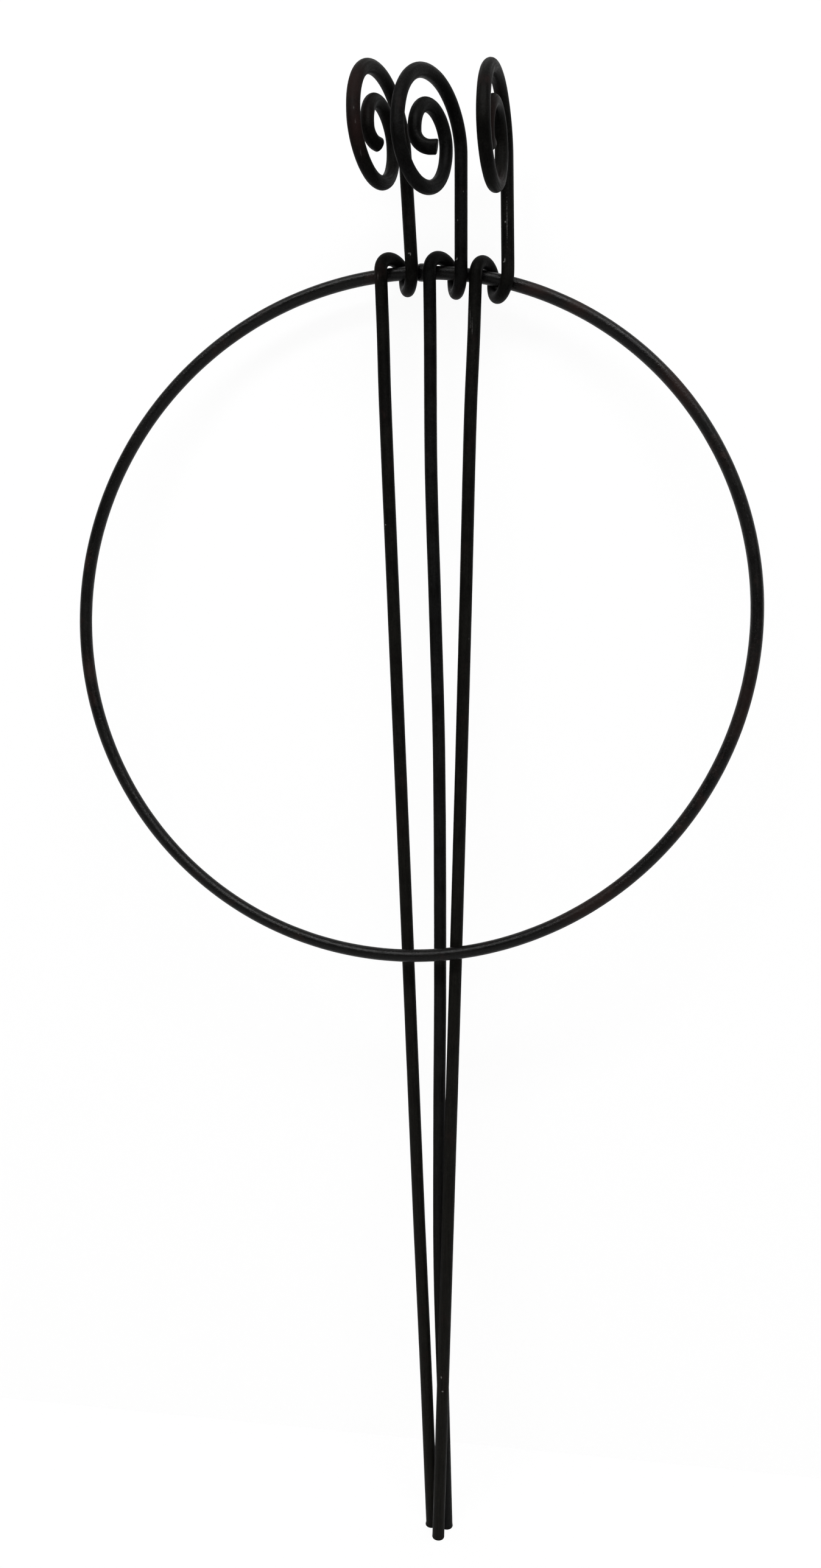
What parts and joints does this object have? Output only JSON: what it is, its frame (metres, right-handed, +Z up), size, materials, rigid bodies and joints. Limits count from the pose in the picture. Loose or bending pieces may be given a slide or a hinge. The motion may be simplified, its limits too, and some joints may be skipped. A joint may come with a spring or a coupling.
{
  "type": "plant support ring stake",
  "caption": "Blackened wire plant support: a round ring hangs in the wrapped loops of scroll-topped stakes that push into soil.",
  "frame": {"origin": "centre of the cut tip of the middle leg, on the ground", "axes": "+Z up along the middle leg, -Y towards the front that the picture shows, +X to the right"},
  "size_m": [0.326, 0.0759, 0.6896],
  "materials": {
    "ring_paint": "satin",
    "stake_paint": "satin"
  },
  "bodies": {
    "middle_stake": {"middle_stake": "stake_paint"},
    "ring": {"ring": "ring_paint"},
    "left_stake": {"left_stake": "stake_paint"},
    "right_stake": {"right_stake": "stake_paint"}
  },
  "joints": [
    {"name": "ring_fold", "type": "hinge", "parent": "middle_stake", "child": "ring", "pos_m": [0.0074, 0.00696, 0.6118], "axis": [-0.9994, 0.002, 0.0348], "range_deg": [0, 90]},
    {"name": "left_swing", "type": "hinge", "parent": "ring", "child": "left_stake", "pos_m": [-0.0154, 0.00704, 0.61316], "axis": [-0.9994, 0.002, 0.0348], "range_deg": [-90, 0]},
    {"name": "right_swing", "type": "hinge", "parent": "ring", "child": "right_stake", "pos_m": [0.0287, 0.00672, 0.60751], "axis": [-0.9994, 0.002, 0.0348], "range_deg": [-90, 0]}
  ],
  "couplings": [
    {"joint": "left_swing", "follows": "ring_fold", "ratio": -1},
    {"joint": "right_swing", "follows": "ring_fold", "ratio": -1}
  ]
}
